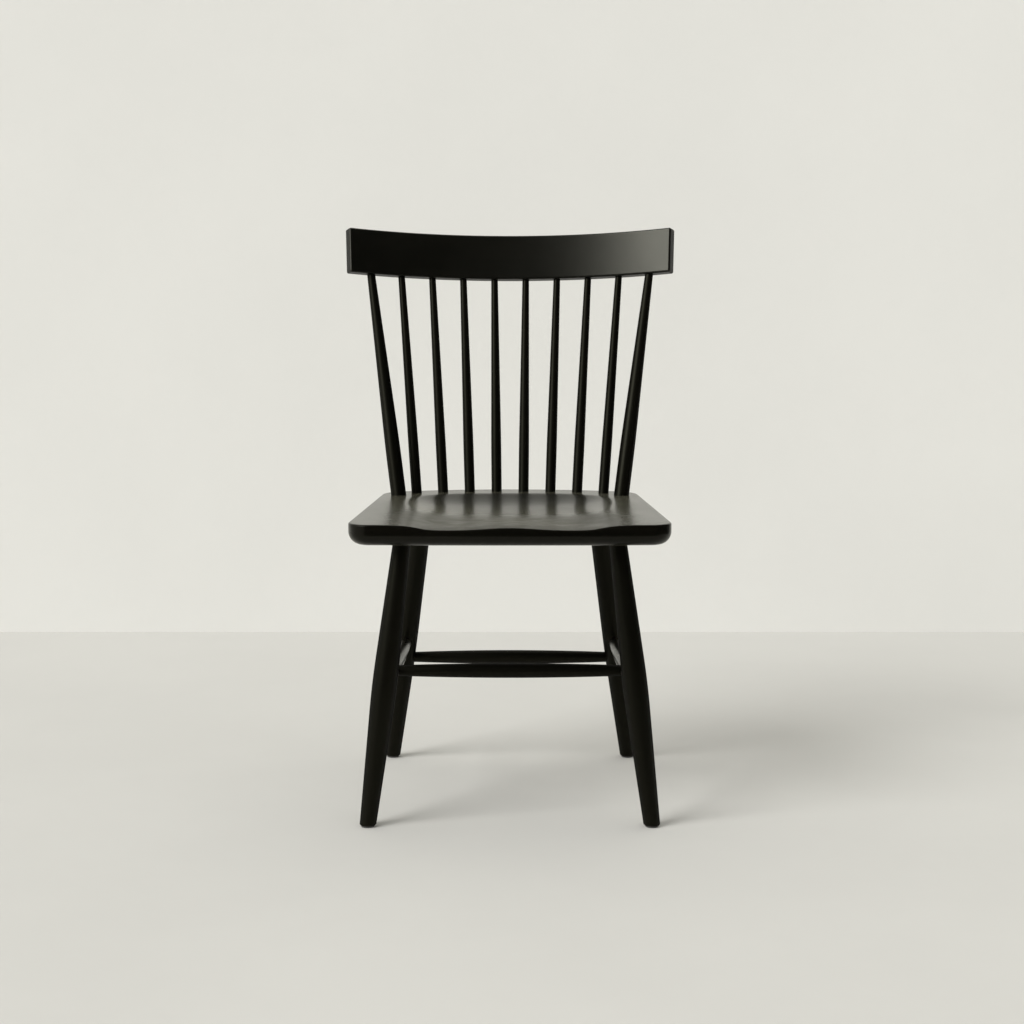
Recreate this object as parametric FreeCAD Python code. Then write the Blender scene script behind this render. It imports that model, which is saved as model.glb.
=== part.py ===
import FreeCAD, Part
import math
import os
from FreeCAD import Rotation, Vector

# A spindle-back side chair: a saddled seat plank on four splayed turned legs, an H of stretchers with one
# more across the back, and a leaning curved crest rail carried by two back posts and eight spindles.
# Millimetres, +Z up. The sitter faces -Y, left is -X. The origin is on the floor under the middle.

# Seat plank
SEAT_FRONT = -254.5            # y of the seat's front edge
SEAT_UNDERSIDE = 420.5
SEAT_TOP = 452.0               # the flat rim that the spindles stand on
SEAT_FRONT_WIDTH = 471.0       # between the front corners before they are rounded
SEAT_REAR_WIDTH = 406.0        # between the rear corners before they are rounded
SEAT_SIDE_DEPTH = 391.0        # from the front corners to the rear corners
SEAT_FRONT_BOW = 5.0
SEAT_REAR_BOW = 36.0
FRONT_CORNER_RADIUS = 32.0
REAR_CORNER_RADIUS = 46.0
UNDERCUT_RADIUS = 18.5         # the round under the plank's edge
TOP_EDGE_RADIUS = 2.5

# Saddle hollowed into the seat; depths along the seat are from its front edge
HOLLOW_DEPTH = 15.2
HOLLOW_CREASE = 376.0          # where its back wall meets the flat rim, in front of the middle spindles
HOLLOW_WIDEST = 268.0          # where its outline is widest, with a corner at each side
HOLLOW_LOWEST = 254.0
HOLLOW_HALF_WIDTH = (134.0, 160.0)   # at the front edge, and where it is widest
WALL_RUN = (14.5, 48.0)        # how gradually its walls reach its floor, at the same two places
RIM_SOFTNESS = (11.3, 5.0)     # how softly they leave the flat rim there
CORNER_POWER = 2.8             # of the rounded outline behind the widest place
WIDENING_POWER = 4.0           # how late the outline widens towards that place
MIDDLE_SOFTNESS = 30.0         # keeps the hollow smooth along its middle
FRONT_RISE = 10.5              # how far its floor climbs to the front edge
FRONT_RISE_POWER = 1.35        # and how late
FRONT_ROLL = 3.1               # how far it then rolls over that edge
FRONT_ROLL_RUN = 40.0
POMMEL_HEIGHT = 3.8
POMMEL_HALF_WIDTH = 50.0
POMMEL_START = 30.0
POMMEL_END = 190.0
CARVING_HALF_WIDTH = 260.0     # extent and spacing of the points that set the carved surface
CARVING_FROM = -24.0
CARVING_TO = 456.0
CARVING_STEP_ACROSS = 13.0
CARVING_STEP_ALONG = 8.0

# Crest rail, bent to an arc and leaning back
LEAN = math.radians(13.0)
CREST_RADIUS = 620.0           # at the middle of its thickness
CREST_WIDTH = 535.0
CREST_HEIGHT = 72.4
CREST_THICKNESS = 20.0
CREST_UNDERSIDE = 792.0        # height of the underside at the middle of the rail
CREST_EDGE_RADIUS = 3.0
CREST_END_FLARE = math.radians(2.0)

# Back posts and spindles
SPINDLE_COUNT = 8
SEAT_ARC_RADIUS = 520.0        # the spindles' feet stand on this arc
SEAT_ARC_APEX = 404.7          # its rearmost point, from the seat's front edge
SEAT_ARC_PITCH = math.radians(4.82)
CREST_PITCH = math.radians(4.74)
POST_FOOT_X = 178.5
POST_FOOT_DEPTH = 355.0
STICK_SEAT_TENON = 20.0
STICK_CREST_TENON = 18.0

# Turned profiles: (share of the length, diameter, share over which the corner there is rounded to each side)
SPINDLE_PROFILE = [(0.0, 16.5, 0.0), (0.22, 16.5, 0.06), (1.0, 10.9, 0.0)]
POST_PROFILE = [(0.0, 24.1, 0.0), (0.22, 24.1, 0.1), (1.0, 13.0, 0.0)]
FRONT_LEG_PROFILE = [(0.0, 24.2, 0.0), (0.49, 37.7, 0.09), (1.0, 25.0, 0.0)]
REAR_LEG_PROFILE = [(0.0, 23.6, 0.0), (0.43, 34.1, 0.15), (1.0, 32.0, 0.0)]
STRETCHER_PROFILE = [(0.0, 16.6, 0.0), (0.5, 28.0, 0.49), (1.0, 16.6, 0.0)]

# Legs, from the floor to the seat's underside
FRONT_FOOT = (209.2, 36.5)     # half spacing, and depth from the seat's front edge
FRONT_TOP = (157.6, 68.0)
REAR_FOOT = (196.5, 440.0)
REAR_TOP = (140.9, 350.0)
LEG_TENON_DIAMETER = 25.0
LEG_TENON = 12.0               # past the shoulder
LEG_HOUSING = 5.0              # depth that the shoulder is let into the seat
FOOT_BEVEL = 1.5

# Stretchers
H_STRETCHER_HEIGHT = 205.0     # side stretchers and the one between them
CENTER_STRETCHER_DEPTH = 170.0
REAR_STRETCHER_HEIGHT = 177.8
LEG_MORTISE = 21.0             # length of the stretchers' tenons in the legs
STRETCHER_MORTISE = 13.5       # and in the side stretchers
TENON_PAST_AXIS = 3.0          # how far a tenon reaches past the axis of the stick that takes it

# Glides nailed under the feet
GLIDE_DIAMETER = 20.0
GLIDE_THICKNESS = 2.6
GLIDE_BEVEL = 0.8
NAIL_DIAMETER = 2.6
NAIL_LENGTH = 16.0
NAIL_HOLE_SPARE = 1.0          # how much deeper than the nail its hole is

GLUE_GAP = 0.1                 # between a tenon and the wall of its socket
SAME_PLACE = 1e-6
OUTSIDE = 40.0                 # how far cutting tools reach into the open
UP = Vector(0, 0, 1)


def point(x, depth, z):
    """A point given by its depth behind the seat's front edge."""
    return Vector(x, SEAT_FRONT + depth, z)


def ease(value, start, end):
    """Rises smoothly from 0 at start to 1 at end."""
    t = min(max((value - start) / (end - start), 0.0), 1.0)
    return t * t * (3.0 - 2.0 * t)


def on_axis(shape, start, direction):
    """Moves a shape made along +Z from the origin so that it runs from start along direction."""
    shape.Placement = FreeCAD.Placement(start, Rotation(UP, direction))
    return shape


def revolved(edges):
    """Solid of revolution about Z from the edges of a closed half section."""
    face = Part.Face(Part.Wire(edges))
    return Part.makeSolid(face.revolve(Vector(), UP, 360))


def line(a, b):
    """Straight edge."""
    return Part.LineSegment(a, b).toShape()


def straight_edges(points):
    """Straight edges from point to point, leaving out those of no length."""
    return [line(a, b) for a, b in zip(points, points[1:]) if (a - b).Length > SAME_PLACE]


def rounded_edges(points, reaches):
    """Straight edges from point to point, each corner rounded by an arc along both its sides."""
    edges = []
    at = points[0]
    for before, corner, after, reach in zip(points, points[1:], points[2:], reaches[1:]):
        into = (corner - before).normalize()
        out = (after - corner).normalize()
        drop = reach * math.tan(into.getAngle(out) / 4)
        first = corner - into * reach
        middle = corner + (out - into).normalize() * drop
        last = corner + out * reach
        edges += [line(at, first), Part.Arc(first, middle, last).toShape()]
        at = last
    return edges + [line(at, points[-1])]


def one_solid(shape):
    """The single solid that an operation left."""
    (solid,) = shape.Solids
    return solid


class Stick:
    """A turned stick: a straight tenon at each end and a swelling or tapering body between them."""

    def __init__(self, start, end, profile, start_tenon, end_tenon):
        """Tenons are (diameter, length); the profile is that of the body between them."""
        self.start = start
        self.end = end
        self.profile = profile
        self.start_tenon = start_tenon
        self.end_tenon = end_tenon
        self.direction = (end - start).normalize()
        self.length = (end - start).Length

    def solid(self):
        """The turned solid."""
        low_radius, low = self.start_tenon[0] / 2, self.start_tenon[1]
        high_radius, high = self.end_tenon[0] / 2, self.length - self.end_tenon[1]
        body = high - low
        rim = [Vector(diameter / 2, 0, low + share * body) for share, diameter, _ in self.profile]
        reaches = [reach * body for _, _, reach in self.profile]
        foot = [Vector(), Vector(low_radius, 0, 0), Vector(low_radius, 0, low), rim[0]]
        head = [rim[-1], Vector(high_radius, 0, high), Vector(high_radius, 0, self.length)]
        head += [Vector(0, 0, self.length), Vector()]
        edges = straight_edges(foot) + rounded_edges(rim, reaches) + straight_edges(head)
        return on_axis(revolved(edges), self.start, self.direction)

    def start_socket(self):
        """Tool for the socket that takes the start tenon."""
        diameter, length = self.start_tenon
        return socket(self.start, self.direction, diameter, length)

    def end_socket(self):
        """Tool for the socket that takes the end tenon."""
        diameter, length = self.end_tenon
        return socket(self.end, self.direction * -1, diameter, length)


def socket(bottom, outward, diameter, depth):
    """Round tool from the bottom of a socket out into the open."""
    tool = Part.makeCylinder(diameter / 2 + GLUE_GAP, depth + OUTSIDE)
    return on_axis(tool, bottom, outward)


def back_sticks():
    """The two posts and the spindles between them, from left to right."""
    sticks = []
    count = SPINDLE_COUNT + 2
    for i in range(count):
        step = i - (count - 1) / 2
        is_post = i in (0, count - 1)
        foot_angle = step * SEAT_ARC_PITCH
        foot_depth = SEAT_ARC_APEX - SEAT_ARC_RADIUS * (1 - math.cos(foot_angle))
        foot = point(SEAT_ARC_RADIUS * math.sin(foot_angle), foot_depth, SEAT_TOP)
        if is_post:
            foot = point(math.copysign(POST_FOOT_X, step), POST_FOOT_DEPTH, SEAT_TOP)
        head = crest_point(step * CREST_PITCH)
        along = (head - foot).normalize()
        profile = POST_PROFILE if is_post else SPINDLE_PROFILE
        sticks.append(Stick(
            foot - along * STICK_SEAT_TENON,
            head + along * STICK_CREST_TENON,
            profile,
            (profile[0][1], STICK_SEAT_TENON),
            (profile[-1][1], STICK_CREST_TENON)))
    return sticks


def crest_apex():
    """Middle of the crest's underside, in line with the middle spindles' lean."""
    depth = SEAT_ARC_APEX + (CREST_UNDERSIDE - SEAT_TOP) * math.tan(LEAN)
    return point(0, depth, CREST_UNDERSIDE)


def crest_point(angle):
    """Point on the middle line of the crest's underside, by its angle round the bend."""
    back = -CREST_RADIUS * (1 - math.cos(angle))
    apex = crest_apex()
    return apex + Vector(CREST_RADIUS * math.sin(angle), back * math.cos(LEAN), -back * math.sin(LEAN))


def crest_rail(sticks):
    """The bent rail, its ends cut with a slight flare, its edges eased, its underside bored."""
    inner = CREST_RADIUS - CREST_THICKNESS / 2
    outer = CREST_RADIUS + CREST_THICKNESS / 2
    half_angle = math.degrees(math.asin(CREST_WIDTH / 2 / outer))
    lower = [Vector(0, inner, 0), Vector(0, outer, 0)]
    upper = [Vector(0, outer, CREST_HEIGHT), Vector(0, inner, CREST_HEIGHT)]
    section = Part.Face(Part.makePolygon(lower + upper + lower[:1]))
    section.rotate(Vector(), UP, -half_angle)
    rail = section.revolve(Vector(), UP, 2 * half_angle)
    for side in (1, -1):
        rail = rail.cut(crest_end_cut(side, half_angle))
    rail = rail.makeFillet(CREST_EDGE_RADIUS, rail.Edges)
    rail.translate(Vector(0, -CREST_RADIUS, 0))
    rail.rotate(Vector(), Vector(1, 0, 0), -math.degrees(LEAN))
    rail.translate(crest_apex())
    return one_solid(rail.cut([stick.end_socket() for stick in sticks]))


def crest_end_cut(side, half_angle):
    """Wedge that trims one end of the rail, so that the rail is widest at its top."""
    reach = CREST_HEIGHT + 2 * OUTSIDE
    wedge = Part.makeBox(OUTSIDE, 2 * OUTSIDE, reach, Vector(0, -OUTSIDE, -reach + CREST_HEIGHT))
    wedge.rotate(Vector(0, 0, CREST_HEIGHT), Vector(0, 1, 0), math.degrees(CREST_END_FLARE))
    wedge.translate(Vector(0, CREST_RADIUS, 0))
    if side < 0:
        wedge = wedge.mirror(Vector(), Vector(1, 0, 0))
    wedge.rotate(Vector(), UP, -side * half_angle)
    return wedge


def between(ends, share):
    """The value that lies a share of the way from the first end to the second."""
    return ends[0] + (ends[1] - ends[0]) * share


def distance_inside(x, depth):
    """How far a place lies inside the outline of the hollow, fading softly to 0 outside it."""
    share = ease(depth, 0.0, HOLLOW_WIDEST)
    half_width = between(HOLLOW_HALF_WIDTH, share ** WIDENING_POWER)
    across = math.hypot(x, MIDDLE_SOFTNESS) - MIDDLE_SOFTNESS
    across /= math.hypot(half_width, MIDDLE_SOFTNESS) - MIDDLE_SOFTNESS
    reach = HOLLOW_CREASE - HOLLOW_WIDEST
    behind = max(depth - HOLLOW_WIDEST, 0.0) / reach
    outward = (across ** CORNER_POWER + behind ** CORNER_POWER) ** (1 / CORNER_POWER)
    softness = between(RIM_SOFTNESS, share)
    return softness * math.log1p(math.exp((1 - outward) * reach / softness))


def saddle_height(x, depth):
    """Height of the seat's upper surface."""
    run = between(WALL_RUN, ease(depth, 0.0, HOLLOW_WIDEST))
    climb = max(1 - depth / HOLLOW_LOWEST, 0.0) ** FRONT_RISE_POWER
    roll = max(1 - depth / FRONT_ROLL_RUN, 0.0) ** 2
    floor = HOLLOW_DEPTH - FRONT_RISE * climb + FRONT_ROLL * roll
    ridge = math.exp(-((x / POMMEL_HALF_WIDTH) ** 2)) * (1 - ease(depth, POMMEL_START, POMMEL_END))
    return SEAT_TOP - floor * math.tanh(distance_inside(x, depth) / run) + POMMEL_HEIGHT * ridge


def steps(start, end, step):
    """Evenly spaced values from start to end."""
    count = round((end - start) / step)
    return [start + step * i for i in range(count + 1)]


def waste_above_saddle():
    """Everything above the seat's carved upper surface."""
    along = steps(CARVING_FROM, CARVING_TO, CARVING_STEP_ALONG)
    across = steps(-CARVING_HALF_WIDTH, CARVING_HALF_WIDTH, CARVING_STEP_ACROSS)
    grid = [[point(x, depth, saddle_height(x, depth)) for depth in along] for x in across]
    surface = Part.BSplineSurface()
    surface.interpolate(grid)
    return surface.toShape().extrude(Vector(0, 0, OUTSIDE))


def seat_outline():
    """Plan of the plank before its corners are rounded."""
    front_left = point(-SEAT_FRONT_WIDTH / 2, SEAT_FRONT_BOW, SEAT_UNDERSIDE)
    front_right = point(SEAT_FRONT_WIDTH / 2, SEAT_FRONT_BOW, SEAT_UNDERSIDE)
    rear_depth = SEAT_FRONT_BOW + SEAT_SIDE_DEPTH
    rear_left = point(-SEAT_REAR_WIDTH / 2, rear_depth, SEAT_UNDERSIDE)
    rear_right = point(SEAT_REAR_WIDTH / 2, rear_depth, SEAT_UNDERSIDE)
    front = Part.Arc(front_left, point(0, 0, SEAT_UNDERSIDE), front_right).toShape()
    rear = Part.Arc(rear_right, point(0, rear_depth + SEAT_REAR_BOW, SEAT_UNDERSIDE), rear_left).toShape()
    return Part.Face(Part.Wire([front, line(front_right, rear_right), rear, line(rear_left, front_left)]))


def corner_edges(blank, at_front):
    """The blank's upright edges at its front or rear corners."""
    found = []
    for edge in blank.Edges:
        box = edge.BoundBox
        upright = box.XLength < SAME_PLACE and box.YLength < SAME_PLACE
        if upright and (edge.CenterOfMass.y < 0) == at_front:
            found.append(edge)
    return found


def seat(sticks, legs):
    """The plank: rounded corners, rounded underside edge, carved top, and sockets above and below."""
    blank = seat_outline().extrude(Vector(0, 0, SEAT_TOP - SEAT_UNDERSIDE + OUTSIDE / 2))
    blank = blank.makeFillet(FRONT_CORNER_RADIUS, corner_edges(blank, at_front=True))
    blank = blank.makeFillet(REAR_CORNER_RADIUS, corner_edges(blank, at_front=False))
    under = [edge for edge in blank.Edges if edge.BoundBox.ZMax < SEAT_UNDERSIDE + SAME_PLACE]
    blank = blank.makeFillet(UNDERCUT_RADIUS, under)
    plank = blank.cut(waste_above_saddle())
    top = max(plank.Faces, key=lambda face: face.CenterOfMass.z)
    plank = plank.makeFillet(TOP_EDGE_RADIUS, top.Edges)
    tools = [stick.start_socket() for stick in sticks]
    for leg in legs:
        tools += [leg.end_socket(), leg.housing()]
    return one_solid(plank.cut(tools))


class Leg(Stick):
    """A turned leg on a slant, shouldered into the seat and cut level above the floor."""

    def __init__(self, side, foot, top, profile):
        """Foot and top are (half spacing, depth); side is -1 for left and 1 for right."""
        self.floor_point = point(side * foot[0], foot[1], 0)
        self.top_point = point(side * top[0], top[1], SEAT_UNDERSIDE)
        slant = (self.top_point - self.floor_point).normalize()
        super().__init__(
            self.floor_point - slant * OUTSIDE,
            self.top_point + slant * (LEG_HOUSING + LEG_TENON),
            profile,
            (profile[0][1], OUTSIDE),
            (LEG_TENON_DIAMETER, LEG_TENON))

    def axis_at(self, height):
        """Point on the leg's axis at a height."""
        share = height / SEAT_UNDERSIDE
        return self.floor_point + (self.top_point - self.floor_point) * share

    def housing(self):
        """Tool for the shallow recess that takes the leg's shoulder."""
        shoulder = self.end - self.direction * LEG_TENON
        return socket(shoulder, self.direction * -1, self.profile[-1][1], LEG_HOUSING)

    def shaped(self, stretchers):
        """The leg with its level foot, bored for its stretchers and its glide's nail."""
        below = Part.makeBox(6 * OUTSIDE, 6 * OUTSIDE, 3 * OUTSIDE)
        below.translate(self.floor_point + Vector(-3 * OUTSIDE, -3 * OUTSIDE, GLIDE_THICKNESS - 3 * OUTSIDE))
        leg = self.solid().cut(below)
        sole = min(leg.Faces, key=lambda face: face.CenterOfMass.z)
        leg = leg.makeChamfer(FOOT_BEVEL, sole.Edges)
        tools = [stretcher_socket(stretcher, self.axis_at(stretcher.start.z)) for stretcher in stretchers]
        tools.append(Part.makeCylinder(
            NAIL_DIAMETER / 2 + GLUE_GAP, NAIL_LENGTH + NAIL_HOLE_SPARE, self.axis_at(GLIDE_THICKNESS)))
        return one_solid(leg.cut(tools))

    def glide(self):
        """The glide under the foot: a bevelled disc with its nail."""
        radius = GLIDE_DIAMETER / 2
        tip = GLIDE_THICKNESS + NAIL_LENGTH
        outline = [
            Vector(), Vector(radius - GLIDE_BEVEL, 0, 0), Vector(radius, 0, GLIDE_BEVEL),
            Vector(radius, 0, GLIDE_THICKNESS), Vector(NAIL_DIAMETER / 2, 0, GLIDE_THICKNESS),
            Vector(NAIL_DIAMETER / 2, 0, tip), Vector(0, 0, tip), Vector()]
        glide = revolved(straight_edges(outline))
        sole = self.axis_at(GLIDE_THICKNESS)
        glide.translate(Vector(sole.x, sole.y, 0))
        return one_solid(glide)


def stretcher_socket(stretcher, near):
    """The socket tool of whichever end of a stretcher lies nearer to a point."""
    if (stretcher.start - near).Length < (stretcher.end - near).Length:
        return stretcher.start_socket()
    return stretcher.end_socket()


def stretcher_between(a, b, mortise):
    """A stretcher whose tenons run a little past the points a and b."""
    along = (b - a).normalize()
    tenon = (STRETCHER_PROFILE[0][1], mortise)
    return Stick(a - along * TENON_PAST_AXIS, b + along * TENON_PAST_AXIS, STRETCHER_PROFILE, tenon, tenon)


def axis_at_depth(stick, depth):
    """Point on a stick's axis at a depth behind the seat's front edge."""
    share = (SEAT_FRONT + depth - stick.start.y) / (stick.end.y - stick.start.y)
    return stick.start + (stick.end - stick.start) * share


def back_names():
    """Names of the posts and spindles, from left to right."""
    spindles = ["spindle_%d" % (i + 1) for i in range(SPINDLE_COUNT)]
    return ["left_back_post"] + spindles + ["right_back_post"]


def chair():
    """Every piece of the chair by name."""
    pieces = {}
    sticks = back_sticks()
    for name, stick in zip(back_names(), sticks):
        pieces[name] = one_solid(stick.solid())

    legs, sides = {}, {}
    for side, hand in ((-1, "left"), (1, "right")):
        front = Leg(side, FRONT_FOOT, FRONT_TOP, FRONT_LEG_PROFILE)
        rear = Leg(side, REAR_FOOT, REAR_TOP, REAR_LEG_PROFILE)
        legs["front_" + hand] = front
        legs["rear_" + hand] = rear
        sides[hand] = stretcher_between(
            front.axis_at(H_STRETCHER_HEIGHT), rear.axis_at(H_STRETCHER_HEIGHT), LEG_MORTISE)
    center = stretcher_between(
        axis_at_depth(sides["left"], CENTER_STRETCHER_DEPTH),
        axis_at_depth(sides["right"], CENTER_STRETCHER_DEPTH), STRETCHER_MORTISE)
    rear_stretcher = stretcher_between(
        legs["rear_left"].axis_at(REAR_STRETCHER_HEIGHT),
        legs["rear_right"].axis_at(REAR_STRETCHER_HEIGHT), LEG_MORTISE)

    for place, leg in legs.items():
        end, hand = place.split("_")
        joined = [sides[hand]] + ([rear_stretcher] if end == "rear" else [])
        pieces[place + "_leg"] = leg.shaped(joined)
        pieces[place + "_glide"] = leg.glide()
    for hand, stretcher in sides.items():
        tool = stretcher_socket(center, axis_at_depth(stretcher, CENTER_STRETCHER_DEPTH))
        pieces[hand + "_side_stretcher"] = one_solid(stretcher.solid().cut(tool))
    pieces["center_stretcher"] = one_solid(center.solid())
    pieces["rear_stretcher"] = one_solid(rear_stretcher.solid())
    pieces["seat"] = seat(sticks, legs.values())
    pieces["crest_rail"] = crest_rail(sticks)
    return pieces


os.makedirs("parts", exist_ok=True)
for name, shape in chair().items():
    shape.exportStep("parts/%s.step" % name)
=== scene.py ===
"""A spindle-back side chair in satin black lacquer, standing in a plain pale room."""

import logging
import math
from dataclasses import dataclass
from enum import Enum

import bpy
import numpy as np
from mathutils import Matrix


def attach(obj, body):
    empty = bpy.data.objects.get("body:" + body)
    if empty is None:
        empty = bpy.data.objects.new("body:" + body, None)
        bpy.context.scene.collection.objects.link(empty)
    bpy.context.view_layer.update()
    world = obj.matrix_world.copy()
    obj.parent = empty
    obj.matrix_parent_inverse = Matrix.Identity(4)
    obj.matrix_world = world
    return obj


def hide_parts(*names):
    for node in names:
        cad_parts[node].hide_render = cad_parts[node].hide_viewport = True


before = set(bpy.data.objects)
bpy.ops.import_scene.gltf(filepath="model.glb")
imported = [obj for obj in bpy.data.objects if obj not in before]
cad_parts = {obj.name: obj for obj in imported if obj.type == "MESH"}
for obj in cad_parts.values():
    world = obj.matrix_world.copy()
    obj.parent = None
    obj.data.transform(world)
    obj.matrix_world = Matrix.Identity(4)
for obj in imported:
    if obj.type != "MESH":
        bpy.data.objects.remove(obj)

log = logging.getLogger("side_chair")

PHOTO_SIDE = 1024.0
UP = (0.0, 0.0, 1.0)
ACROSS = (1.0, 0.0, 0.0)

Colour = tuple[float, float, float]
Point = tuple[float, float, float]


class GrainRun(Enum):
    """Which way the wood's fibres run in a piece."""

    ALONG_PIECE = "along the piece's own length"
    ACROSS_CHAIR = "from side to side of the chair"


class Tree:
    """A shader node tree, with short calls to add nodes and join them."""

    def __init__(self, tree: bpy.types.NodeTree) -> None:
        """Keeps the tree.

        Args:
            tree: The node tree of a material, world or group.
        """
        self.tree = tree

    def add(self, kind: str, settings: dict | None = None, **sockets: object) -> bpy.types.Node:
        """Adds a node.

        Args:
            kind: The node's type without its common prefix.
            settings: Properties of the node itself.
            **sockets: Input values or output sockets to join, by the socket's name with _ for a space.

        Returns:
            The new node.
        """
        node = self.tree.nodes.new("ShaderNode" + kind)
        for name, value in (settings or {}).items():
            setattr(node, name, value)
        for name, value in sockets.items():
            self.feed(node, name.replace("_", " "), value)
        return node

    def feed(self, node: bpy.types.Node, name: str | int, value: object) -> None:
        """Sets or joins one input of a node.

        Args:
            node: The node.
            name: The input's name, or its place for nodes whose inputs share a name.
            value: A plain value, or the output socket that feeds the input.
        """
        socket = node.inputs[name]
        if isinstance(value, bpy.types.NodeSocket):
            self.tree.links.new(value, socket)
        elif socket.type == "RGBA":
            socket.default_value = (*value, 1.0)
        else:
            socket.default_value = value

    def math(self, operation: str, *values: object) -> bpy.types.NodeSocket:
        """Adds a Math node.

        Args:
            operation: The operation's name.
            *values: Numbers or sockets, in order.

        Returns:
            The result's socket.
        """
        node = self.add("Math", {"operation": operation})
        for place, value in enumerate(values):
            self.feed(node, place, value)
        return node.outputs[0]

    def vector(self, operation: str, *values: object) -> bpy.types.Node:
        """Adds a Vector Math node.

        Args:
            operation: The operation's name.
            *values: Vectors or sockets, in order. For SCALE, the second is the number to scale by.

        Returns:
            The node.
        """
        node = self.add("VectorMath", {"operation": operation})
        places = (0, 3) if operation == "SCALE" else range(len(values))
        for place, value in zip(places, values):
            self.feed(node, place, value)
        return node

    def spread(self, value: bpy.types.NodeSocket, low: float, high: float, to_low: float = 0.0,
               to_high: float = 1.0) -> bpy.types.NodeSocket:
        """Maps a value smoothly from one range to another, held at the ends.

        Args:
            value: The socket to map.
            low: Start of the range that comes in.
            high: End of the range that comes in.
            to_low: What low becomes.
            to_high: What high becomes.

        Returns:
            The mapped socket.
        """
        node = self.add("MapRange", {"interpolation_type": "SMOOTHSTEP"}, Value=value, From_Min=low,
                        From_Max=high, To_Min=to_low, To_Max=to_high)
        return node.outputs["Result"]

    def blend(self, share: object, first: object, second: object) -> bpy.types.NodeSocket:
        """Mixes two colours.

        Args:
            share: How much of the second colour, as a number or socket.
            first: Colour or socket.
            second: Colour or socket.

        Returns:
            The mixed colour's socket.
        """
        node = self.add("Mix", {"data_type": "RGBA"})
        self.feed(node, 0, share)
        self.feed(node, 6, first)
        self.feed(node, 7, second)
        return node.outputs[2]

    def noise(self, place: bpy.types.NodeSocket, scale: float, detail: float = 2.0,
              roughness: float = 0.5) -> bpy.types.NodeSocket:
        """Adds noise.

        Args:
            place: The coordinates.
            scale: How fine it is, per metre.
            detail: Octaves.
            roughness: Weight of the finer octaves.

        Returns:
            The noise value's socket.
        """
        node = self.add("TexNoise", None, Vector=place, Scale=scale, Detail=detail, Roughness=roughness)
        return node.outputs["Fac"]

    def own(self, name: str) -> bpy.types.Node:
        """Adds a node that reads a value which each piece has of its own.

        Args:
            name: The value's name.

        Returns:
            The node.
        """
        return self.add("Attribute", {"attribute_type": "OBJECT", "attribute_name": name})

    def group(self, group: bpy.types.NodeTree, **sockets: object) -> bpy.types.Node:
        """Adds a node group.

        Args:
            group: The group.
            **sockets: Its input values or the sockets to join.

        Returns:
            The node.
        """
        return self.add("Group", {"node_tree": group}, **sockets)


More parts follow.
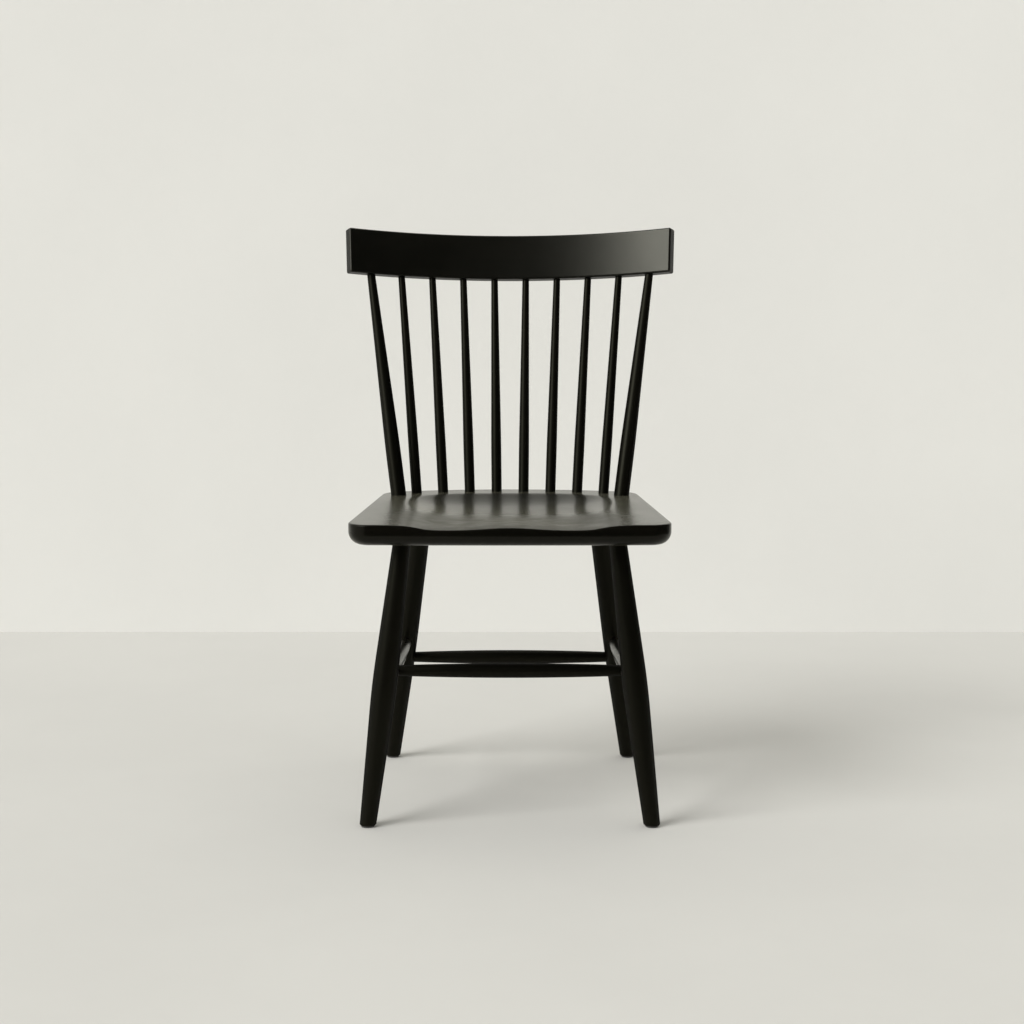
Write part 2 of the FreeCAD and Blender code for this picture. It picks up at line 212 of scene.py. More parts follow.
class Effects:
    """Shader node groups that the finishes share."""

    drawn_out: float = 0.96
    seed_shift: Point = (3.1, 5.7, 2.3)
    bevel_samples: int = 6
    speck_share: float = 0.6

    def __init__(self) -> None:
        """Builds every group once."""
        self.grain = self._grain()
        self.wear = self._wear()
        self.dust = self._dust()
        self.patch = self._patch()

    @staticmethod
    def _group(name: str, inputs: dict[str, str], outputs: list[str]) -> tuple[Tree, dict, bpy.types.Node]:
        """Starts a group.

        Args:
            name: The group's name.
            inputs: Socket kind by name.
            outputs: Names of the values that it puts out.

        Returns:
            The tree, its input sockets by name, and its output node.
        """
        group = bpy.data.node_groups.new(name, "ShaderNodeTree")
        for label, kind in inputs.items():
            group.interface.new_socket(label, in_out="INPUT", socket_type="NodeSocket" + kind)
        for label in outputs:
            group.interface.new_socket(label, in_out="OUTPUT", socket_type="NodeSocketFloat")
        entry = group.nodes.new("NodeGroupInput")
        leave = group.nodes.new("NodeGroupOutput")
        return Tree(group), {label: entry.outputs[label] for label in inputs}, leave

    def _grain(self) -> bpy.types.NodeTree:
        """Fibres and broader figure, drawn out along the grain.

        Returns:
            The group.
        """
        tree, given, leave = self._group(
            "wood_grain", {"Place": "Vector", "Axis": "Vector", "Seed": "Float", "Fineness": "Float"},
            ["Fibre", "Figure"])
        along = tree.vector("DOT_PRODUCT", given["Place"], given["Axis"]).outputs["Value"]
        drawn = tree.vector("SCALE", given["Axis"], tree.math("MULTIPLY", along, -self.drawn_out)).outputs[0]
        shift = tree.vector("SCALE", self.seed_shift, given["Seed"]).outputs[0]
        place = tree.vector("ADD", tree.vector("ADD", given["Place"], drawn).outputs[0], shift).outputs[0]
        fine = tree.vector("SCALE", place, given["Fineness"]).outputs[0]
        fibre = tree.noise(fine, scale=1.0, detail=3.0, roughness=0.6)
        figure = tree.noise(place, scale=55.0)
        tree.feed(leave, "Fibre", tree.spread(fibre, 0.3, 0.7))
        tree.feed(leave, "Figure", tree.spread(figure, 0.3, 0.7))
        return tree.tree

    def _wear(self) -> bpy.types.NodeTree:
        """Rubbed edges: where the surface turns sharply, broken up by noise.

        Returns:
            The group.
        """
        tree, given, leave = self._group(
            "rubbed_edges", {"Place": "Vector", "Reach": "Float", "Patchiness": "Float"}, ["Wear"])
        rounded = tree.add("Bevel", {"samples": self.bevel_samples}, Radius=given["Reach"]).outputs["Normal"]
        straight = tree.add("NewGeometry").outputs["Normal"]
        agree = tree.vector("DOT_PRODUCT", rounded, straight).outputs["Value"]
        edge = tree.spread(agree, 0.999, 0.9)
        patches = tree.spread(tree.noise(given["Place"], scale=90.0, detail=4.0, roughness=0.65), 0.42, 0.66)
        worn = tree.math("MULTIPLY", edge, tree.math("POWER", patches, given["Patchiness"]))
        tree.feed(leave, "Wear", worn)
        return tree.tree

    def _dust(self) -> bpy.types.NodeTree:
        """Fine dust on whatever faces up.

        Returns:
            The group.
        """
        tree, given, leave = self._group("settled_dust", {"Place": "Vector", "Amount": "Float"}, ["Dust"])
        normal = tree.add("NewGeometry").outputs["Normal"]
        facing = tree.spread(tree.vector("DOT_PRODUCT", normal, UP).outputs["Value"], 0.55, 1.0)
        cloud = tree.noise(given["Place"], scale=14.0, detail=5.0, roughness=0.6)
        drift = tree.spread(cloud, 0.3, 0.75, 0.35)
        specks = tree.spread(tree.noise(given["Place"], scale=1400.0, detail=1.0), 0.62, 0.78)
        amount = tree.math("MULTIPLY", tree.math("MULTIPLY", facing, drift), given["Amount"])
        speckled = tree.math("ADD", tree.math("MULTIPLY", specks, self.speck_share), 1.0 - self.speck_share)
        tree.feed(leave, "Dust", tree.math("MULTIPLY", amount, speckled))
        return tree.tree

    def _patch(self) -> bpy.types.NodeTree:
        """A soft oval patch on what faces up.

        Returns:
            The group.
        """
        tree, given, leave = self._group(
            "oval_patch", {"Place": "Vector", "Middle": "Vector", "Reach": "Vector"}, ["Patch"])
        offset = tree.vector("SUBTRACT", given["Place"], given["Middle"]).outputs[0]
        scaled = tree.vector("DIVIDE", offset, given["Reach"]).outputs[0]
        share = tree.vector("LENGTH", scaled).outputs["Value"]
        normal = tree.add("NewGeometry").outputs["Normal"]
        facing = tree.spread(tree.vector("DOT_PRODUCT", normal, UP).outputs["Value"], 0.8, 0.98)
        tree.feed(leave, "Patch", tree.math("MULTIPLY", tree.spread(share, 0.4, 1.3, 1.0, 0.0), facing))
        return tree.tree


def new_material(name: str) -> tuple[Tree, bpy.types.Node]:
    """Starts a material with an empty Principled surface.

    Args:
        name: The material's name.

    Returns:
        Its tree and its Principled node.
    """
    material = bpy.data.materials.new(name)
    material.use_nodes = True
    material.node_tree.nodes.clear()
    tree = Tree(material.node_tree)
    surface = tree.add("BsdfPrincipled")
    tree.add("OutputMaterial", None, Surface=surface.outputs[0])
    return tree, surface


@dataclass(frozen=True)
class BlackLacquer:
    """Satin black lacquer, thin enough for the wood's pores to show through as a faint texture."""

    name: str = "turned_lacquer_finish"
    black: Colour = (0.0021, 0.0020, 0.0013)
    brown_black: Colour = (0.0034, 0.0031, 0.0021)
    rubbed: Colour = (0.022, 0.019, 0.014)
    dust: Colour = (0.15, 0.14, 0.12)
    glint: Colour = (1.0, 0.99, 0.74)
    roughness_low: float = 0.35
    roughness_high: float = 0.40
    index: float = 1.2
    full_gloss: float = 0.5
    edge_gloss: float = 0.02
    outline: tuple[float, float] = (0.3, 0.72)
    edge_reach: float = 0.0022
    edge_patchiness: float = 1.4
    edge_dulling: float = 0.08
    dust_amount: float = 0.05
    fineness: float = 950.0
    pore_dulling: float = 0.025
    pore_share: float = 0.45
    peel_share: float = 0.55
    relief: float = 0.00010
    relief_strength: float = 0.35

    def build(self, effects: Effects) -> bpy.types.Material:
        """Builds the material.

        Args:
            effects: The shared groups.

        Returns:
            The material.
        """
        tree, surface = new_material(self.name)
        place = tree.add("TexCoord").outputs["Object"]
        axis = tree.own("grain_axis").outputs["Vector"]
        seed = tree.own("grain_seed").outputs["Fac"]
        grain = tree.group(effects.grain, Place=place, Axis=axis, Seed=seed, Fineness=self.fineness)
        wear = tree.group(effects.wear, Place=place, Reach=self.edge_reach,
                          Patchiness=self.edge_patchiness).outputs["Wear"]
        dust = tree.group(effects.dust, Place=place, Amount=self.dust_amount).outputs["Dust"]
        fibre = grain.outputs["Fibre"]
        figured = tree.blend(grain.outputs["Figure"], self.black, self.brown_black)
        rubbed = tree.blend(wear, figured, self.rubbed)
        cloud = tree.noise(place, scale=9.0, detail=3.0, roughness=0.55)
        base = tree.spread(cloud, 0.3, 0.7, self.roughness_low, self.roughness_high)
        pored = tree.math("ADD", base, tree.math("MULTIPLY", fibre, self.pore_dulling))
        worn = tree.math("ADD", pored, tree.math("MULTIPLY", wear, self.edge_dulling))
        # On the seat the colour after use is partly wear and partly painted sheen.
        used_and_painted_sheen, dulled = self._use_and_painted_sheen(tree, effects, place, rubbed, worn)
        tree.feed(surface, "Base Color", tree.blend(dust, used_and_painted_sheen, self.dust))
        tree.feed(surface, "Roughness", dulled)
        peel = tree.noise(place, scale=420.0, detail=1.0)
        height = tree.math("ADD", tree.math("MULTIPLY", fibre, self.pore_share),
                           tree.math("MULTIPLY", peel, self.peel_share))
        bump = tree.add("Bump", None, Height=height, Strength=self.relief_strength, Distance=self.relief)
        tree.feed(surface, "Normal", bump.outputs["Normal"])
        surface.inputs["IOR"].default_value = self.index
        surface.inputs["Specular Tint"].default_value = (*self.glint, 1.0)
        self._sheen(tree, surface)
        return bpy.data.materials[self.name]

    def _use_and_painted_sheen(self, tree: Tree, effects: Effects, place: bpy.types.NodeSocket, colour: bpy.types.NodeSocket,
             roughness: bpy.types.NodeSocket) -> tuple[bpy.types.NodeSocket, bpy.types.NodeSocket]:
        """Marks the lacquer where it is used: not at all on the sticks and the rail.

        Args:
            tree: The material's tree.
            effects: The shared groups.
            place: The coordinates.
            colour: The lacquer's colour.
            roughness: Its roughness.

        Returns:
            The colour and the roughness after use.
        """
        return colour, roughness

    def _sheen(self, tree: Tree, surface: bpy.types.Node) -> None:
        """Takes the gloss off towards a stick's outline, as a matting agent does.

        Args:
            tree: The material's tree.
            surface: The Principled node.
        """
        turned = tree.add("LayerWeight", None, Blend=0.5).outputs["Facing"]
        gloss = tree.spread(turned, *self.outline, self.full_gloss, self.edge_gloss)
        tree.feed(surface, "Specular IOR Level", gloss)


@dataclass(frozen=True)
class SeatLacquer(BlackLacquer):
    """The same lacquer, flatted along the seat, dulled and lighter where people sit: partly wear, partly
    painted sheen.
    """

    name: str = "seat_lacquer_finish"
    roughness_low: float = 0.20
    roughness_high: float = 0.24
    index: float = 1.36
    glint: Colour = (1.0, 0.99, 0.86)
    face_gloss: float = 0.26
    low_angle: tuple[float, float] = (0.25, 0.65)
    relief: float = 0.00002
    brushed: float = 0.6
    veil: Colour = (1.0, 0.97, 0.70)
    veil_amount: float = 0.12
    veil_roughness: float = 0.3
    # Lighter colour of the sat-on patch: partly scuffing, partly painted sheen.
    scuffed_and_painted_sheen: Colour = (0.018, 0.017, 0.013)
    dulling: float = 0.27
    sat_on: Point = (0.0, -0.172, 0.44)
    sat_reach: Point = (0.170, 0.128, 0.2)

    def _use_and_painted_sheen(self, tree: Tree, effects: Effects, place: bpy.types.NodeSocket, colour: bpy.types.NodeSocket,
             roughness: bpy.types.NodeSocket) -> tuple[bpy.types.NodeSocket, bpy.types.NodeSocket]:
        """Scuffs and dulls the front of the hollow, where people sit; the lighter colour is partly painted
        sheen.

        Args:
            tree: The material's tree.
            effects: The shared groups.
            place: The coordinates.
            colour: The lacquer's colour.
            roughness: Its roughness.

        Returns:
            The colour, partly painted sheen, and the roughness after use.
        """
        patch = tree.group(effects.patch, Place=place, Middle=self.sat_on, Reach=self.sat_reach)
        broken = tree.spread(tree.noise(place, scale=38.0, detail=6.0, roughness=0.68), 0.3, 0.68, 0.5)
        share = tree.math("MULTIPLY", patch.outputs["Patch"], broken)
        # The lighter patch colour is partly scuffing and partly painted sheen, the low-angle shine of the
        # hollow's front.
        return (tree.blend(share, colour, self.scuffed_and_painted_sheen),
                tree.math("ADD", roughness, tree.math("MULTIPLY", share, self.dulling)))

    def _sheen(self, tree: Tree, surface: bpy.types.Node) -> None:
        """Lets the flatted surface shine at a low angle and sideways, under a veil of fine scratches.

        Args:
            tree: The material's tree.
            surface: The Principled node.
        """
        turned = tree.add("LayerWeight", None, Blend=0.5).outputs["Facing"]
        gloss = tree.spread(turned, *self.low_angle, self.face_gloss, self.full_gloss)
        tree.feed(surface, "Specular IOR Level", gloss)
        surface.inputs["Anisotropic"].default_value = self.brushed
        tree.feed(surface, "Tangent", tree.add("CombineXYZ", None, X=1.0).outputs[0])
        surface.inputs["Sheen Weight"].default_value = self.veil_amount
        surface.inputs["Sheen Roughness"].default_value = self.veil_roughness
        surface.inputs["Sheen Tint"].default_value = (*self.veil, 1.0)


@dataclass(frozen=True)
class GlideNylon:
    """Matt dark nylon with a moulded grain."""

    name: str = "glide_nylon_finish"
    dark: Colour = (0.048, 0.047, 0.044)
    light: Colour = (0.070, 0.068, 0.064)
    scuff: Colour = (0.11, 0.105, 0.10)
    roughness_low: float = 0.48
    roughness_high: float = 0.62
    edge_reach: float = 0.0006
    edge_patchiness: float = 0.8
    relief: float = 0.00006
    relief_strength: float = 0.4

    def build(self, effects: Effects) -> bpy.types.Material:
        """Builds the material.

        Args:
            effects: The shared groups.

        Returns:
            The material.
        """
        tree, surface = new_material(self.name)
        place = tree.add("TexCoord").outputs["Object"]
        mottle = tree.spread(tree.noise(place, scale=900.0, detail=3.0, roughness=0.6), 0.3, 0.7)
        wear = tree.group(effects.wear, Place=place, Reach=self.edge_reach,
                          Patchiness=self.edge_patchiness).outputs["Wear"]
        mottled = tree.blend(mottle, self.dark, self.light)
        tree.feed(surface, "Base Color", tree.blend(wear, mottled, self.scuff))
        roughness = tree.spread(mottle, 0.0, 1.0, self.roughness_low, self.roughness_high)
        tree.feed(surface, "Roughness", roughness)
        bump = tree.add("Bump", None, Height=mottle, Strength=self.relief_strength, Distance=self.relief)
        tree.feed(surface, "Normal", bump.outputs["Normal"])
        return bpy.data.materials[self.name]


def lay_grain(node: bpy.types.Object, run: GrainRun, seed: float) -> None:
    """Says which way a piece's fibres run, for its finish to read.

    Args:
        node: The piece.
        run: The direction.
        seed: A number of its own for each piece, so that no two have the same figure.
    """
    axis = np.array(ACROSS)
    if run is GrainRun.ALONG_PIECE:
        points = np.array([vertex.co for vertex in node.data.vertices])
        _, directions = np.linalg.eigh(np.cov((points - points.mean(0)).T))
        axis = directions[:, -1]
    node["grain_axis"] = [float(value) for value in axis]
    node["grain_seed"] = seed


@dataclass
class Timber:
    """Wooden pieces that take the same finish."""

    finish: bpy.types.Material
    first_seed: int

    def dress(self, names: list[str], run: GrainRun) -> None:
        """Gives each piece its finish and its own grain.

        Args:
            names: The pieces' names.
            run: Which way their fibres run.
        """
        for step, name in enumerate(names):
            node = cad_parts[name]
            lay_grain(node, run, float(self.first_seed + step))
            node.material_slots[0].material = self.finish
            log.info("dressed %s, fibres %s", name, run.value)


def ease(value: np.ndarray, start: float | np.ndarray, end: float | np.ndarray) -> np.ndarray:
    """Rises smoothly from 0 at start to 1 at end.

    Args:
        value: Values to map.
        start: Where it leaves 0.
        end: Where it reaches 1.

    Returns:
        The eased values.
    """
    share = np.clip((value - start) / (end - start), 0.0, 1.0)
    return share * share * (3.0 - 2.0 * share)


@dataclass
class Seat:
    """The saddled plank: rounded corners, an undercut edge, and a hollow with a crisp rear crease.

    Depths are from the plank's front edge, and every size is in metres. The top is drawn as rings that close in
    on a point rings_centre deep.
    """

    finish: bpy.types.Material
    front_y: float = -0.2545
    underside: float = 0.4205
    top: float = 0.452
    front_half_width: float = 0.2355
    rear_half_width: float = 0.2030
    side_depth: float = 0.391
    front_bow: float = 0.005
    rear_bow: float = 0.036
    front_corner: float = 0.032
    rear_corner: float = 0.046
    undercut: float = 0.0185
    top_round: float = 0.0025
    hollow_depth: float = 0.0152
    front_rise: float = 0.0105
    front_rise_power: float = 1.35
    front_roll: float = 0.0031
    front_roll_run: float = 0.040
    lowest: float = 0.254
    widest: float = 0.268
    crease: float = 0.376
    corner_power: float = 2.8
    widening_power: float = 4.0
    middle_softness: float = 0.030
    half_width: tuple[float, float] = (0.134, 0.160)
    wall_run: tuple[float, float] = (0.0145, 0.048)
    rim_softness: tuple[float, float] = (0.0113, 0.0015)
    pommel_height: float = 0.0038
    pommel_half_width: float = 0.050
    pommel_run: tuple[float, float] = (0.030, 0.190)
    spacing: float = 0.0035
    underside_rim: float = 0.06
    undercut_rings: int = 13
    top_round_rings: int = 7
    corner_points: int = 40
    bow_points: int = 80
    rings_centre: float = 0.203
    rings_run: float = 0.22
    grain_seed: float = 40.0

    def build(self) -> None:
        """Builds the plank and lets it stand for the solid one."""
        plank = self._mesh()
        lay_grain(plank, GrainRun.ACROSS_CHAIR, self.grain_seed)
        plank.data.materials.append(self.finish)
        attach(plank, "root")
        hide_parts("seat")
        log.info("built %s with %d faces", plank.name, len(plank.data.polygons))

    def carved(self, x: np.ndarray, depth: np.ndarray) -> np.ndarray:
        """How far the saddle lies below the flat rim.

        Args:
            x: Places across the seat.
            depth: Places behind its front edge.

        Returns:
            The depths of the carving.
        """
        share = ease(depth, 0.0, self.widest)
        half = self.half_width[0] + (self.half_width[1] - self.half_width[0]) * share ** self.widening_power
        run = self.wall_run[0] + (self.wall_run[1] - self.wall_run[0]) * share
        softness = self.rim_softness[0] + (self.rim_softness[1] - self.rim_softness[0]) * share
        middle = self.middle_softness
        across = (np.hypot(x, middle) - middle) / (np.hypot(half, middle) - middle)
        reach = self.crease - self.widest
        behind = np.clip(depth - self.widest, 0.0, None) / reach
        out = (across ** self.corner_power + behind ** self.corner_power) ** (1.0 / self.corner_power)
        inside = softness * np.logaddexp(0.0, (1.0 - out) * reach / softness)
        ahead = np.clip(1.0 - depth / self.lowest, 0.0, 1.0)
        roll = np.clip(1.0 - depth / self.front_roll_run, 0.0, 1.0)
        rise = self.front_rise * ahead ** self.front_rise_power
        floor = self.hollow_depth - rise + self.front_roll * roll * roll
        ridge = np.exp(-((x / self.pommel_half_width) ** 2)) * (1.0 - ease(depth, *self.pommel_run))
        return floor * np.tanh(inside / run) - self.pommel_height * ridge

    def _outline(self) -> np.ndarray:
        """The plank's plan, as (x, depth) points round it from the middle of the front, through the right.

        Returns:
            The points, evenly spaced.
        """
        half, bow = self.front_half_width, self.front_bow
        front_radius = (half * half + bow * bow) / (2.0 * bow)
        front_centre = np.array((0.0, front_radius))
        rear_depth = bow + self.side_depth
        back = self.rear_half_width
        rear_radius = (back * back + self.rear_bow ** 2) / (2.0 * self.rear_bow)
        rear_centre = np.array((0.0, rear_depth + self.rear_bow - rear_radius))
        start, end = np.array((half, bow)), np.array((back, rear_depth))
        front_arc = self._corner(start, end, front_centre, front_radius, self.front_corner)
        rear_arc = self._corner(end, start, rear_centre, rear_radius, self.rear_corner)[::-1]
        front_line = self._bow(front_centre, front_radius, np.array((0.0, 0.0)), front_arc[0])
        rear_middle = np.array((0.0, rear_depth + self.rear_bow))
        rear_line = self._bow(rear_centre, rear_radius, rear_arc[-1], rear_middle)
        right = np.vstack((front_line, front_arc[1:], rear_arc, rear_line[1:]))
        whole = np.vstack((right, (right * (-1.0, 1.0))[-2:0:-1]))
        return self._evenly(whole)

    def _corner(self, corner: np.ndarray, other: np.ndarray, centre: np.ndarray, radius: float,
                turn: float) -> np.ndarray:
        """Rounds a corner between a bowed edge and a straight side.

        Args:
            corner: The corner.
            other: The straight side's other end.
            centre: Centre of the bowed edge.
            radius: Radius of the bowed edge.
            turn: Radius of the corner.

        Returns:
            Points from the bowed edge to the side.
        """
        along = (other - corner) / np.linalg.norm(other - corner)
        inward = np.array((-along[1], along[0]))
        inward = inward if inward[0] < 0.0 else -inward
        base = corner + inward * turn - centre
        reach = radius - turn
        slope = base @ along
        root = math.sqrt(slope * slope - base @ base + reach * reach)
        step = min(root - slope, -root - slope, key=abs)
        middle = centre + base + along * step
        first = math.atan2(*(middle - centre)[::-1])
        last = math.atan2(*(-inward)[::-1])
        turned = (last - first + math.pi) % (2.0 * math.pi) - math.pi
        angles = first + np.linspace(0.0, 1.0, self.corner_points) * turned
        return middle + turn * np.stack((np.cos(angles), np.sin(angles)), 1)

    def _bow(self, centre: np.ndarray, radius: float, first: np.ndarray, last: np.ndarray) -> np.ndarray:
        """Points along a bowed edge.

        Args:
            centre: Its centre.
            radius: Its radius.
            first: Where it starts.
            last: Where it ends.

        Returns:
            The points.
        """
        start = math.atan2(*(first - centre)[::-1])
        turned = (math.atan2(*(last - centre)[::-1]) - start + math.pi) % (2.0 * math.pi) - math.pi
        angles = start + np.linspace(0.0, 1.0, self.bow_points) * turned
        return centre + radius * np.stack((np.cos(angles), np.sin(angles)), 1)

    def _evenly(self, points: np.ndarray) -> np.ndarray:
        """Spaces a closed line's points evenly.

        Args:
            points: The line's points.

        Returns:
            The new points.
        """
        closed = np.vstack((points, points[:1]))
        lengths = np.concatenate(((0.0,), np.cumsum(np.linalg.norm(np.diff(closed, axis=0), axis=1))))
        count = int(lengths[-1] / self.spacing)
        places = np.linspace(0.0, lengths[-1], count, endpoint=False)
        return np.stack([np.interp(places, lengths, closed[:, axis]) for axis in (0, 1)], 1)

    def _mesh(self) -> bpy.types.Object:
        """Builds the plank from rings: underside, undercut, side, top round and carved top.

        Returns:
            The plank.
        """
        outline = self._outline()
        ahead = np.roll(outline, -1, 0) - np.roll(outline, 1, 0)
        inward = np.stack((-ahead[:, 1], ahead[:, 0]), 1) / np.linalg.norm(ahead, axis=1)[:, None]
        rings = [self._ring(outline + inward * self.underside_rim, self.underside)]
        for angle in np.linspace(0.0, math.pi / 2.0, self.undercut_rings):
            inset = self.undercut * (1.0 - math.sin(angle))
            height = self.underside + self.undercut * (1.0 - math.cos(angle))
            rings.append(self._ring(outline + inward * inset, height))
        brim = outline + inward * self.top_round
        rim = self.top - self.carved(brim[:, 0], brim[:, 1])
        for angle in np.linspace(0.0, math.pi / 2.0, self.top_round_rings):
            inset = self.top_round * (1.0 - math.cos(angle))
            rings.append(self._ring(outline + inward * inset, rim - self.top_round * (1.0 - math.sin(angle))))
        centre = np.array((0.0, self.rings_centre))
        count = int(self.rings_run / self.spacing)
        for step in range(1, count):
            flat = centre + (brim - centre) * (1.0 - step / count)
            rings.append(self._ring(flat, self.top - self.carved(flat[:, 0], flat[:, 1])))
        size = len(outline)
        points = np.vstack(rings)
        last = (len(rings) - 1) * size
        faces = []
        for low in range(0, last, size):
            high = low + size
            for i in range(size):
                j = (i + 1) % size
                faces.append((low + i, low + j, high + j, high + i))
        faces.append(tuple(range(size))[::-1])
        faces.append(tuple(range(last, last + size)))
        mesh = bpy.data.meshes.new("seat_plank")
        mesh.from_pydata(points.tolist(), [], faces)
        mesh.shade_smooth()
        plank = bpy.data.objects.new("seat_plank", mesh)
        bpy.context.scene.collection.objects.link(plank)
        return plank

    def _ring(self, flat: np.ndarray, height: float | np.ndarray) -> np.ndarray:
        """Lifts plan points to a height, in the chair's frame.

        Args:
            flat: (x, depth) points.
            height: One height, or one for each.

        Returns:
            The points in space.
        """
        return np.stack((flat[:, 0], flat[:, 1] + self.front_y, np.broadcast_to(height, len(flat))), 1)


@dataclass
class Backrest:
    """The crest rail with the posts and spindles that carry it."""

    finish: bpy.types.Material
    rail_finish: bpy.types.Material
    rail: str = "crest_rail"
    spindle_count: int = 8
    rail_seed: int = 60
    stick_seed: int = 80

    def build(self) -> None:
        """Dresses the rail and the sticks."""
        sticks = ["left_back_post", "right_back_post"]
        sticks += ["spindle_%d" % (i + 1) for i in range(self.spindle_count)]
        Timber(self.rail_finish, self.rail_seed).dress([self.rail], GrainRun.ACROSS_CHAIR)
        Timber(self.finish, self.stick_seed).dress(sticks, GrainRun.ALONG_PIECE)


@dataclass
class Underframe:
    """Legs, stretchers and glides."""

    finish: bpy.types.Material
    trodden: bpy.types.Material
    nylon: bpy.types.Material
    corners: tuple[str, ...] = ("front_left", "front_right", "rear_left", "rear_right")
    stick_seed: int = 120
    trodden_seed: int = 140

    def build(self) -> None:
        """Dresses every piece below the seat."""
        sticks = [corner + "_leg" for corner in self.corners]
        sticks += ["center_stretcher", "rear_stretcher"]
        sides = ["left_side_stretcher", "right_side_stretcher"]
        Timber(self.finish, self.stick_seed).dress(sticks, GrainRun.ALONG_PIECE)
        Timber(self.trodden, self.trodden_seed).dress(sides, GrainRun.ALONG_PIECE)
        for corner in self.corners:
            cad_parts[corner + "_glide"].material_slots[0].material = self.nylon
            log.info("dressed %s_glide", corner)


@dataclass
class Room:
    """A plain pale room in soft light from the left, with dark drapes for the lacquer to mirror: painted shade.
    """

    wall_y: float = 1.27
    reach: float = 60.0
    drape_left: float = -0.7
    drape_right: float = 2.0
    drape_front: float = -1.1
    drape_back: float = 1.0
    drape_height: float = 4.6
    # The drapes' dark colour is painted shade, seen only in the lacquer's reflections.
    drape_colour: Colour = (0.03, 0.03, 0.028)
    room_colour: Colour = (0.96, 0.955, 0.93)
    room_strength: float = 0.60
    window_strength: float = 2.4
    window_breadth: float = math.radians(35.0)
    window_bearing: float = math.radians(54.0)
    window_height: float = math.radians(33.0)
    window_colour: Colour = (1.0, 1.0, 0.985)
    wall_colour: Colour = (0.785, 0.78, 0.75)
    wall_shade: float = 0.975
    floor_colour: Colour = (0.66, 0.652, 0.622)
    floor_shade: float = 0.965

    def build(self) -> None:
        """Builds the stage and lights it."""
        reach = self.reach
        corners = [(-reach, -reach, 0.0), (reach, -reach, 0.0), (reach, reach, 0.0), (-reach, reach, 0.0)]
        self._sheet("floor", corners, self._floor_finish())
        self._upright("wall", (-reach, self.wall_y), (reach, self.wall_y), reach, self._wall_finish())
        dark = self._drape_finish()
        left = (self.drape_left, self.drape_front)
        corner = (self.drape_right, self.drape_front)
        back = (self.drape_right, self.drape_back)
        # Dark drapes seen only in reflections: painted shade for the unlit room in front and to the right.
        for name, start, end in (("front_drape", left, corner), ("right_drape", corner, back)):
            self._hide_from_view(self._upright(name, start, end, self.drape_height, dark))
        self._world()
        self._daylight()

    @staticmethod
    def _hide_from_view(sheet: bpy.types.Object) -> None:
        """Leaves a sheet to reflections alone, as a dark studio drape out of view: painted shade in the
        reflections.

        Args:
            sheet: The sheet.
        """
        sheet.visible_camera = False
        sheet.visible_diffuse = False
        sheet.visible_shadow = False

    def _drape_finish(self) -> bpy.types.Material:
        """Dark cloth, painted shade that stands for the unlit room in front of and right of the chair.

        Returns:
            The material.
        """
        _, surface = new_material("dark_drape")
        surface.inputs["Base Color"].default_value = (*self.drape_colour, 1.0)
        surface.inputs["Roughness"].default_value = 1.0
        return bpy.data.materials["dark_drape"]

    def _upright(self, name: str, start: tuple[float, float], end: tuple[float, float], height: float,
                 finish: bpy.types.Material) -> bpy.types.Object:
        """Adds a sheet that stands on the floor.

        Args:
            name: Its name.
            start: Where its foot starts, in plan.
            end: Where its foot ends, in plan.
            height: How tall it is.
            finish: Its material.

        Returns:
            The sheet.
        """
        return self._sheet(name, [(*start, 0.0), (*end, 0.0), (*end, height), (*start, height)], finish)

    @staticmethod
    def _sheet(name: str, corners: list[Point], finish: bpy.types.Material) -> bpy.types.Object:
        """Adds one flat sheet of the stage.

        Args:
            name: Its name.
            corners: Its corners, in order.
            finish: Its material.

        Returns:
            The sheet.
        """
        mesh = bpy.data.meshes.new(name)
        mesh.from_pydata(corners, [], [tuple(range(len(corners)))])
        mesh.materials.append(finish)
        sheet = bpy.data.objects.new(name, mesh)
        bpy.context.scene.collection.objects.link(sheet)
        return sheet

    @staticmethod
    def _matt(name: str, colour: Colour, shade: float, scale: float,
              detail: float) -> tuple[Tree, bpy.types.Node]:
        """Starts a matt finish with faint clouds.

        Args:
            name: The material's name.
            colour: Its colour.
            shade: How dark the clouds are, as a share of the colour.
            scale: How fine they are, per metre.
            detail: Octaves.

        Returns:
            The material's tree and its Principled node.
        """
        tree, surface = new_material(name)
        place = tree.add("TexCoord").outputs["Object"]
        cloud = tree.spread(tree.noise(place, scale=scale, detail=detail, roughness=0.6), 0.3, 0.7)
        darker = tuple(value * shade for value in colour)
        tree.feed(surface, "Base Color", tree.blend(cloud, colour, darker))
        tree.feed(surface, "Roughness", tree.spread(cloud, 0.0, 1.0, 0.85, 0.95))
        surface.inputs["Specular IOR Level"].default_value = 0.0
        return tree, surface

    def _floor_finish(self) -> bpy.types.Material:
        """Pale matt screed.

        Returns:
            The material.
        """
        self._matt("pale_floor", self.floor_colour, self.floor_shade, scale=1.3, detail=5.0)
        return bpy.data.materials["pale_floor"]

    def _wall_finish(self) -> bpy.types.Material:
        """Pale limewashed plaster, clear from behind so that the chair can be seen through it.

        Returns:
            The material.
        """
        tree, surface = self._matt("pale_wall", self.wall_colour, self.wall_shade, scale=1.7, detail=6.0)
        place = tree.add("TexCoord").outputs["Object"]
        trowelled = tree.noise(place, scale=60.0, detail=4.0, roughness=0.6)
        bump = tree.add("Bump", None, Height=trowelled, Strength=0.15, Distance=0.002)
        tree.feed(surface, "Normal", bump.outputs["Normal"])
        behind = tree.add("NewGeometry").outputs["Backfacing"]
        open_side = tree.add("BsdfTransparent")
        either = tree.add("MixShader")
        tree.feed(either, 0, behind)
        tree.feed(either, 1, surface.outputs[0])
        tree.feed(either, 2, open_side.outputs[0])
        tree.feed(tree.tree.nodes["Material Output"], "Surface", either.outputs[0])
        return bpy.data.materials["pale_wall"]

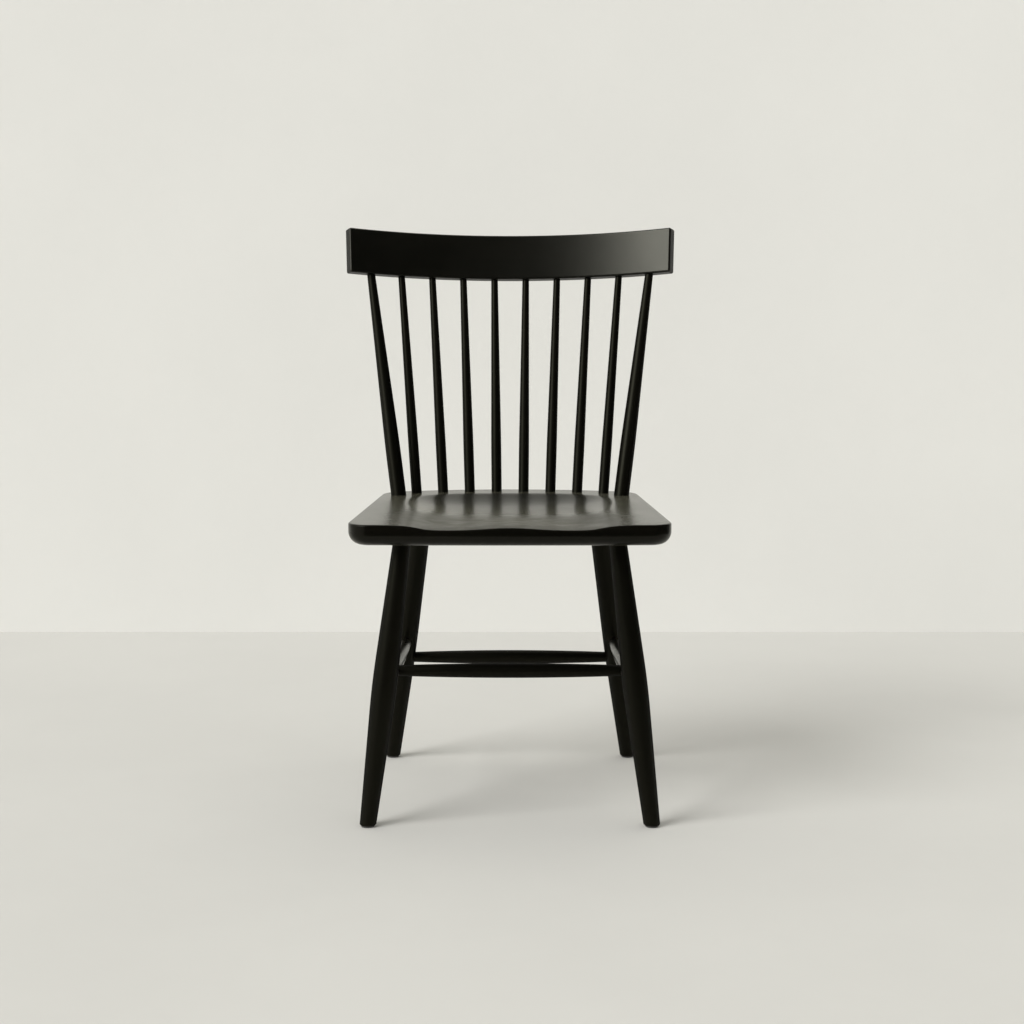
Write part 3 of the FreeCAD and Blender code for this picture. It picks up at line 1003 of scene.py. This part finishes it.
    def _world(self) -> None:
        """The even light of the rest of the room."""
        world = bpy.data.worlds.new("room_light")
        world.use_nodes = True
        world.node_tree.nodes.clear()
        tree = Tree(world.node_tree)
        light = tree.add("Background", None, Color=self.room_colour, Strength=self.room_strength)
        tree.add("OutputWorld", None, Surface=light.outputs[0])
        bpy.context.scene.world = world

    def _daylight(self) -> None:
        """Adds soft light from a broad patch of sky, high on the left, even over wall and chair."""
        data = bpy.data.lights.new("window_light", "SUN")
        data.energy = self.window_strength
        data.angle = self.window_breadth
        data.color = self.window_colour
        lamp = bpy.data.objects.new("window_light", data)
        lamp.rotation_euler = (math.pi / 2 - self.window_height, 0.0, -self.window_bearing)
        bpy.context.scene.collection.objects.link(lamp)


@dataclass
class Viewpoint:
    """The place that the photograph was taken from."""

    at: Point = (0.0031, -3.0015, 0.835)
    tilt_down: float = math.radians(7.54)
    focal_pixels: float = 1950.0
    sensor: float = 36.0

    def build(self) -> None:
        """Adds the camera and makes it the scene's own."""
        data = bpy.data.cameras.new("viewpoint")
        data.sensor_width = self.sensor
        data.lens = self.focal_pixels / PHOTO_SIDE * self.sensor
        camera = bpy.data.objects.new("viewpoint", data)
        camera.location = self.at
        camera.rotation_euler = (math.pi / 2 - self.tilt_down, 0.0, 0.0)
        bpy.context.scene.collection.objects.link(camera)
        bpy.context.scene.camera = camera


def main() -> None:
    """Builds the chair's looks, the room and the camera."""
    logging.basicConfig(level=logging.INFO, format="%(name)s: %(message)s")
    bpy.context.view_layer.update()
    effects = Effects()
    turned = BlackLacquer().build(effects)
    rubbed_out = BlackLacquer("rail_lacquer_finish", glint=(1.0, 0.99, 0.86), roughness_low=0.29,
                              roughness_high=0.33, index=1.47, edge_gloss=0.08).build(effects)
    trodden = BlackLacquer("trodden_lacquer_finish", roughness_low=0.26, roughness_high=0.32, index=1.42,
                           edge_gloss=0.6).build(effects)
    flatted = SeatLacquer().build(effects)
    nylon = GlideNylon().build(effects)
    Seat(flatted).build()
    Backrest(turned, rubbed_out).build()
    Underframe(turned, trodden, nylon).build()
    Room().build()
    Viewpoint().build()
    bpy.context.scene.view_settings.view_transform = "Standard"


if __name__ == "__main__":
    main()
